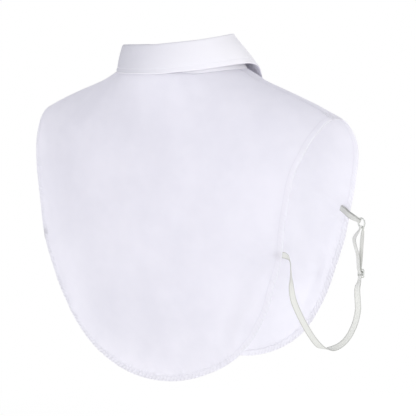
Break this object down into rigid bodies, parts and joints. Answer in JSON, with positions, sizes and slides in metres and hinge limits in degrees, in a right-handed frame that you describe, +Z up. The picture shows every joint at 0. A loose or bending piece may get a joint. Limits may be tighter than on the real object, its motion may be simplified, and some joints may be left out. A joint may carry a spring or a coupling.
{
  "type": "detachable shirt collar",
  "caption": "Detachable shirt collar: half shirt of white cotton with a turned-down collar on a stand, buttoned front, open armholes and an elastic strap with slider and ring at each side.",
  "frame": {"origin": "centre of the neck opening, at the height of the neck's side seam", "axes": "+Z up along the wearer's neck, -Y forward through the buttoned front, -X towards the wearer's right arm"},
  "size_m": [0.3492, 0.1775, 0.3396],
  "materials": {
    "cotton": "matte woven",
    "braid": "matte braided elastic",
    "button": "glossy",
    "plastic": "satin translucent"
  },
  "bodies": {
    "root": {"back_panel": "cotton", "front_right": "cotton", "front_left": "cotton", "placket": "cotton", "collar_stand": "cotton", "collar_fall": "cotton", "button_1": "button", "button_2": "button", "button_3": "button", "button_4": "button", "button_5": "button", "strap_right_run": "braid", "strap_right_loop": "braid", "strap_right_tab": "braid", "strap_left_run": "braid", "strap_left_loop": "braid", "strap_left_tab": "braid", "ring_right": "plastic", "ring_left": "plastic", "slider_right": "plastic", "slider_left": "plastic"}
  },
  "joints": []
}
